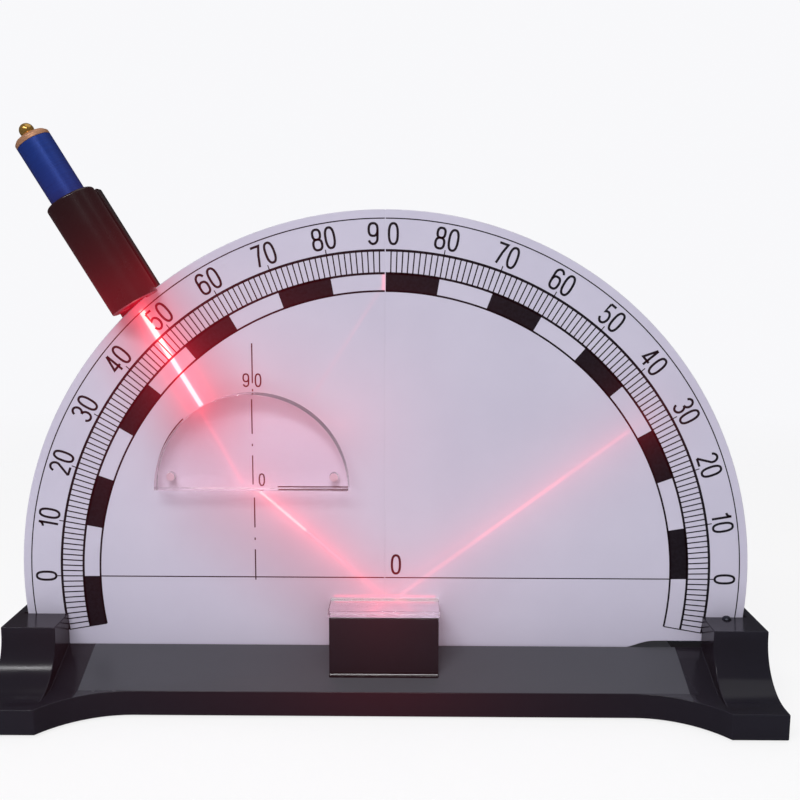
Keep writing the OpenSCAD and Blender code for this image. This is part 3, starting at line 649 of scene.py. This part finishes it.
def strokes(digit):
    """Centre lines of a digit as (points, closed), W to each side and H high."""
    top, low = H - 2.1, 2.1
    six = [(oval(2.45, W, 2.45), True),
           (np.vstack([[(-W, 2.4), (-W, H - 2.6)], arc((0, top), (W, 2.1), 175, 20)]), False)]
    shapes = {
        "0": [(oval(H / 2, W, H / 2), True)],
        "1": [(arc((-1.2, H), (1.75, 1.9), -90, 0, 6), False), ([(0.55, 0), (0.55, H)], False)],
        "2": [(np.vstack([arc((0, top), (W, 2.1), 170, -25), [(-W, 0)]]), False),
              ([(-W, 0), (W, 0)], False)],
        "3": [(arc((0, H - 1.95), (W * 0.93, 1.95), 165, -90), False),
              (arc((0, 2.075), (W, 2.075), 90, -165), False)],
        "4": [([(W + 0.1, low), (-W, low), (0.55, H)], False), ([(0.75, 0), (0.75, H)], False)],
        "5": [([(1.5, H), (-1.15, H)], False),
              (np.vstack([[(-1.15, H)], arc((0, 2.5), (W, 2.5), 135, -160)]), False)],
        "6": six,
        "7": [([(-W, H), (W, H), (0.55, 4.6), (-0.55, 0)], False)],
        "8": [(oval(H - 1.95, W * 0.88, 1.95), True), (oval(2.08, W, 2.08), True)],
        "9": [(np.array([0, H]) - line, shut) for line, shut in six],
    }
    return shapes[digit]


def figure(text, centre, angle, height=9.0, stroke=0.95):
    """Bands of a number whose middle is at centre, upright towards the given angle."""
    size = (height - stroke) / H
    step = 5.2 * size * (0.88 if "1" in text else 1.0)
    turn = math.radians(angle - 90)
    spin = np.array([[math.cos(turn), -math.sin(turn)], [math.sin(turn), math.cos(turn)]])
    bands = []
    for place, digit in enumerate(text):
        shift = np.array([(place - (len(text) - 1) / 2) * step, -size * H / 2])
        for line, shut in strokes(digit):
            points = (np.asarray(line) * [size * (0.95 if digit != "1" else 1), size] + shift)
            bands.append(band(points @ spin.T + centre, stroke, shut))
    return bands


print("bands in the number 80:", len(figure("80", (0, 0), 90)))

# %% [markdown]
# ## The degree scale
# Both halves carry the same rings, a tick for each degree, a black block over every
# second ten degrees, and a number at each ten. One function draws the right half's
# lines, and the left half is their mirror image. Its numbers can't be mirrored, so
# they are written after that.

# %% Rings, ticks, blocks and numbers
# Height of the zero line, half of the open seam, and the radii of what is printed
ZERO_Z, SEAM = 50, 0.2
BLOCKS_FROM, TICKS_FROM, TICKS_TO, LONG_TICKS_TO, NUMBERS_AT = 118, 125, 134, 136.2, 140.5
THIN = 0.45
CIRCLES = [(146.5, THIN), (TICKS_TO, 1.0), (TICKS_FROM, 0.9), (BLOCKS_FROM, 0.75)]


def polar(radius, angle):
    """Board place (x, z) in mm at a radius and an angle in degrees from the zero line."""
    a = math.radians(angle)
    return np.array([radius * math.cos(a), ZERO_Z + radius * math.sin(a)])


def at_seam(radius):
    """Angle in degrees at which a ring meets the seam: the arc cosine of seam over radius."""
    return math.degrees(math.acos(SEAM / radius))


def half_dial(side, first_black):
    """All bands of one half, side 1 for right and -1 for left, from its first black block."""
    centre = (0, ZERO_Z)
    bands = [band(arc(centre, radius, -10, at_seam(radius), 100), width)
             for radius, width in CIRCLES]
    for degree in range(-9, 90):
        bands.append(band([polar(TICKS_FROM, degree), polar(TICKS_TO, degree)], 0.5))
        if degree % 10 == 0:
            bands.append(band([polar(TICKS_TO, degree), polar(LONG_TICKS_TO, degree)], 0.4))
    bands.append(band([polar(BLOCKS_FROM, -10), polar(TICKS_TO, -10)], THIN))
    middle = (BLOCKS_FROM + TICKS_FROM) / 2
    for first in range(first_black, 90, 20):
        last = min(first + 10, at_seam(middle))
        bands.append(band(arc(centre, middle, first, last, 10), TICKS_FROM - BLOCKS_FROM))
    bands.append(band([(SEAM, ZERO_Z), (BLOCKS_FROM, ZERO_Z)], THIN))
    mirrored = [tuple(edge * [side, 1] for edge in pair) for pair in bands]
    for value in range(0, 90, 10):
        angle = value if side > 0 else 180 - value
        mirrored += figure(str(value), polar(NUMBERS_AT, angle), angle)
    return mirrored


right_bands = half_dial(1, 0)
left_bands = half_dial(-1, -10)
print("bands of the two halves:", len(left_bands), len(right_bands))

# %% [markdown]
# ## Numbers at the seam and the prism's own scale
# The seam cuts the number 90 in two, so its nine is on the left half and its zero
# on the right one, and the middle line has a zero of its own. The prism stands on a
# small scale: a dashed line through its middle with 90 and 0 on it, part of a
# circle round it, and a double line to the right of it.

# %% Bands round the seam and the prism
TOP_NUMBER = ZERO_Z + NUMBERS_AT
FINE = 0.5
SMALL = dict(stroke=0.6)
# Upper and lower end of each dash of the line through the prism
DASHES = [(147, 130.9), (128.5, 127.6), (124.8, 110.6), (106.6, 105.6), (101.8, 89.8),
          (83.7, 71.1), (66.8, 65.8), (61.8, 48.8)]

right_bands += figure("0", (3.2, TOP_NUMBER), 90)
right_bands += figure("0", (4.6, 55.65), 90, height=8.7)
left_bands += figure("9", (-4.8, TOP_NUMBER), 90)

left_bands += figure("9", (-56.1, 132.1), 90, height=5.6, **SMALL)
left_bands += figure("0", (-51.2, 132.1), 90, height=5.6, **SMALL)
left_bands += figure("0", (-49.9, 91.8), 90, height=5.3, **SMALL)
left_bands += [band([(PRISM[0], top), (PRISM[0], foot)], FINE) for top, foot in DASHES]
left_bands.append(band(arc(PRISM - [1.0, 0.5], 39.5, 134, 178, 30), FINE))
left_bands += [band([PRISM + [10, rise], PRISM + [38.5, rise]], FINE) for rise in (-0.3, 0.6)]
print("bands with the small scale:", len(left_bands), len(right_bands))

# %% [markdown]
# ## Print the bands
# A picture of the dial could be laid on the film, but it would blur near to, so the
# print is geometry. All bands of a half are joined into one mesh that lies on the
# film and rides with its board. The two boards stand 0.4 mm apart for the hinges to
# work, but in the photograph the film closes that seam to a hairline. So a narrow
# strip of film, which rides on the fixed half, fills it.

# %% Meshes of the print
INK_THICK = 0.03
SEAM_FOOT, SEAM_TOP, SEAM_WIDTH, SEAM_DEEP = 20.9, 199.8, 0.37, 0.05


def printed(name, bands, body, finish=dial_ink, front=INK_Y - INK_THICK):
    """One mesh of all the bands, facing the viewer, with the ink's thickness behind it."""
    points, quads = [], []
    for left, right in bands:
        count = sum(len(p) for p in points)
        n = len(left)
        run = np.arange(n - 1)
        quads.append(count + np.stack([run, run + n, run + n + 1, run + 1], axis=1))
        points += [left, right]
    flat = np.vstack(points)
    quads = np.vstack(quads)
    corner = flat[quads]
    area = np.cross(corner[:, 2] - corner[:, 0], corner[:, 3] - corner[:, 1])
    quads[area < 0] = quads[area < 0][:, ::-1]
    flat = np.stack([flat[:, 0], np.full(len(flat), front), flat[:, 1]], axis=1) * MM
    mesh = bpy.data.meshes.new(name)
    mesh.from_pydata(flat.tolist(), [], quads.tolist())
    mesh.materials.append(finish)
    piece = bpy.data.objects.new(name, mesh)
    bpy.context.scene.collection.objects.link(piece)
    ink = piece.modifiers.new("ink_thickness", "SOLIDIFY")
    ink.thickness = INK_THICK * MM
    ink.offset = -1
    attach(piece, body)
    print(name, "quads:", len(quads))
    return piece


printed("left_dial_print", left_bands, "stand")
printed("right_dial_print", right_bands, "folding_half")
seam_line = band([(0, SEAM_FOOT), (0, SEAM_TOP)], SEAM_WIDTH)
printed("seam_shade", [seam_line], "stand", dial_film, INK_Y + SEAM_DEEP)

# %% [markdown]
# ## The red rays
# A ray seen on a board is the light that the board's face scatters where the flat
# fan of laser light grazes it. It isn't a thing, so it isn't a mesh: narrow area
# lights lie just off the board and face it. Their backs don't show. A bright core
# lies close to the film, and a rim of the same width a millimetre off it blurs its
# edges. A wider and dimmer strip makes the halo round it, and a broad one makes the
# glow of the camera's own lens.

# %% Strips of light on the board
RED, PINK = (1.0, 0.0, 0.03), (1.0, 0.06, 0.08)
WARM, HOT, HOT_END = (1.0, 0.62, 0.42), (1.0, 0.9, 0.62), (1.0, 0.85, 0.7)
# Distance from the film and share of the ray's radiance
CORE, RIM = (0.1, 0.7), (1.1, 0.45)
# Width, distance from the film and radiance
HALO, GLOW = (3.6, 5, 1.1), (14, 16, 0.5)


def strip(name, first, last, width, off, radiance, body, colour=RED):
    """A light as long as the ray and width mm wide, off mm in front of the board, facing it."""
    first, last = np.asarray(first, float), np.asarray(last, float)
    along = last - first
    length = np.linalg.norm(along)
    middle = (first + last) / 2
    lamp = bpy.data.lights.new(name, "AREA")
    lamp.shape = "RECTANGLE"
    lamp.size, lamp.size_y = length * MM, width * MM
    lamp.energy = radiance * math.pi * lamp.size * lamp.size_y
    lamp.color = colour
    piece = bpy.data.objects.new(name, lamp)
    bpy.context.scene.collection.objects.link(piece)
    x_axis = Vector((along[0], 0, along[1])) / length
    z_axis = Vector((0, -1, 0))
    turn = Matrix((x_axis, z_axis.cross(x_axis), z_axis)).transposed().to_4x4()
    place = Vector((middle[0], INK_Y - off, middle[1])) * MM
    piece.matrix_world = Matrix.Translation(place) @ turn
    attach(piece, body)
    return piece


def ray(name, first, last, radiance, colour, body, core=1.2, halo=1.0):
    """Core, rim, halo and glow of one stretch of a ray; halo is for the two wide ones."""
    for part, (off, share) in (("_core", CORE), ("_rim", RIM)):
        strip(name + part, first, last, core, off, radiance * share, body, colour)
    for part, (width, off, strength) in (("_halo", HALO), ("_glow", GLOW)):
        strip(name + part, first, last, width, off, strength * halo, body)


def along(first, last, *shares):
    """Board places at the given shares of the way from first to last."""
    first, last = np.asarray(first), np.asarray(last)
    return [first + (last - first) * share for share in shares]


print("the first ray's colours:", HOT, HOT_END)

# %% [markdown]
# ## From the laser to the right end
# The first ray is so bright that its middle burns out to a warm white, and it
# narrows towards the prism. Inside the prism it is faint. It leaves the flat side
# towards the mirror, warm at first, and fades. The mirror throws it up to the
# right. A faint stray ray goes towards the seam's top and shows once more there.

# %% Light the rays
on_prism = AIMED + 39.2 * AIM
upper, lower = along(AIMED + 84 * AIM, on_prism, 0, 0.5)
ray("ray_in_upper", upper, lower, 2.3, HOT, "stand", core=2.3)
ray("ray_in_lower", lower, on_prism, 2.1, HOT_END, "stand", core=1.9)
within = along(on_prism - [0.6, 0], PRISM - [3.2, 0], 0, 0.95)
ray("ray_in_prism", *within, 0.5, PINK, "stand", halo=0.2)

points = along(PRISM, MIRROR_SPOT, 0.02, 0.4, 0.7, 0.97)
for number, (radiance, colour, halo) in enumerate([(1.0, WARM, 0.8), (0.6, PINK, 0.6),
                                                   (0.4, PINK, 0.3)]):
    ray("ray_out_%d" % number, points[number], points[number + 1], radiance, colour, "stand",
        core=1.0, halo=halo)

points = along((2.5, 39.5), RIGHT_END, 0.02, 0.35, 0.7, 0.95)
for number, radiance in enumerate((0.34, 0.5, 0.3)):
    ray("ray_back_%d" % number, points[number], points[number + 1], radiance, PINK,
        "folding_half", core=1.4, halo=0.25)

STRAY_END = (-1, 170)
strip("ray_stray", along(PRISM, STRAY_END, 0.45)[0], STRAY_END, 1.1, 0.2, 0.16, "stand")
strip("ray_on_seam", (-0.6, 168), (-0.6, 175), 1.1, 0.2, 0.9, "stand")
strip("ray_on_mirror", (-21, 42), (21, 42), 0.9, 0.2, 0.8, "stand")

# %% [markdown]
# ## The stage
# The object stands on a pale floor that fades into the white behind it, so that no
# horizon shows. A curved backdrop would do that too, but it would be seen edge on
# from other sides, and a disc whose rim turns transparent looks the same from all.
# The black plastic mirrors a room that is darker than the white that the picture was
# cut out on, so glossy rays meet a dimmer floor than the camera does, unless they
# have been through the clear prism.

# %% Floor
def mirrored_rays(tree):
    """The Light Path's outputs, and 1 for glossy rays that haven't passed a clear body."""
    paths = add(tree, "LightPath").outputs
    outside = add(tree, "Math", {0: paths["Transmission Depth"], 1: 0.5}, operation="LESS_THAN")
    mirrored = add(tree, "Math", {0: paths["Is Glossy Ray"], 1: outside}, operation="MULTIPLY")
    return paths, mirrored


FLOOR_RADIUS = 2.0
FADE_FROM, FADE_TO = 0.35, 0.9
floor_white, tree, shader = start("stage_floor_white", "#f2f1f4", 0.7)
paths, mirrored = mirrored_rays(tree)
white = add(tree, "Emission", {"Strength": 1.04})
seen = add(tree, "Math", {0: paths["Is Camera Ray"], 1: 0.75}, operation="MULTIPLY")
sheet = add(tree, "MixShader", {0: seen, 1: shader, 2: white})
dim = add(tree, "BsdfDiffuse", {"Color": (0.09, 0.09, 0.1, 1)})
sheet = add(tree, "MixShader", {0: mirrored, 1: sheet, 2: dim})
far_off = add(tree, "VectorMath", {0: add(tree, "TexCoord").outputs["Object"]}, operation="LENGTH")
fade = add(tree, "MapRange", {"Value": far_off, "From Min": FADE_FROM, "From Max": FADE_TO})
blend = add(tree, "MixShader", {0: fade, 1: sheet, 2: add(tree, "BsdfTransparent")})
plug(tree, tree.nodes["Material Output"], {"Surface": blend})

radius = np.linspace(0.001, FLOOR_RADIUS, 12)[:, None]
angle = np.linspace(0, 2 * math.pi, 49)[None, :-1]
disc = np.stack([radius * np.cos(angle), radius * np.sin(angle), 0 * radius * angle], axis=-1)
floor = surface("stage_floor", disc, floor_white, None, closed=True)
print("floor of radius", FLOOR_RADIUS, "m, faded out at", FADE_TO)

# %% [markdown]
# ## The world
# A world is the light that comes from all round. A picture of a studio could light
# the object, but a plain cool white is enough here. Its strength depends on the kind
# of ray: nearly white for the camera, low for the light that falls on the object,
# lower still for reflections, and higher again behind the clear prism.

# %% World
AROUND, SEEN_MORE, MIRRORED_LESS, CLEARED_MORE = 0.31, 0.65, 0.25, 0.35
COOL = (0.98, 0.98, 1)
world = bpy.data.worlds.new("studio")
bpy.context.scene.world = world
world.use_nodes = True
tree = world.node_tree
paths, mirrored = mirrored_rays(tree)
direct = add(tree, "Math", {0: paths["Diffuse Depth"], 1: 0.5}, operation="LESS_THAN")
passed = add(tree, "Math", {0: paths["Transmission Depth"], 1: 0.5}, operation="GREATER_THAN")
cleared = add(tree, "Math", {0: direct, 1: passed}, operation="MULTIPLY")
strength = AROUND
for share, more in ((paths["Is Camera Ray"], SEEN_MORE), (mirrored, -MIRRORED_LESS),
                    (cleared, CLEARED_MORE)):
    strength = add(tree, "Math", {0: share, 1: more, 2: strength}, operation="MULTIPLY_ADD")
plug(tree, tree.nodes["Background"], {"Strength": strength, "Color": (*COOL, 1)})
print("world nodes:", len(tree.nodes))

# %% [markdown]
# ## Studio lamps
# The thin bright line on the left flank shows where the main lamp was: in front, to
# the left, 45 degrees up, long and narrow. A soft lamp in the same place fills in
# and shows in no reflection, and a wide one hangs overhead.

# %% Softboxes
KEY_AT, TOP_AT, LAMPS_FACE = (-0.35, -1.05, 1.2), (0.2, 0.1, 1.6), (0, 0, 0.1)


def softbox(name, place, size, watts, colour=(1, 1, 1)):
    """A rectangular lamp at a place in metres, turned to face the object's middle."""
    lamp = bpy.data.lights.new(name, "AREA")
    lamp.shape = "RECTANGLE"
    lamp.size, lamp.size_y = size
    lamp.energy = watts
    lamp.color = colour
    piece = bpy.data.objects.new(name, lamp)
    bpy.context.scene.collection.objects.link(piece)
    look = Vector(LAMPS_FACE) - Vector(place)
    turn = look.to_track_quat("-Z", "Y").to_matrix().to_4x4()
    piece.matrix_world = Matrix.Translation(place) @ turn
    return piece


softbox("key_strip", KEY_AT, (1.3, 0.1), 9.5, COOL)
soft = softbox("key_soft", KEY_AT, (1.3, 0.7), 5.6, COOL)
soft.visible_glossy = False
softbox("fill_top", TOP_AT, (1.8, 1.4), 5.2)
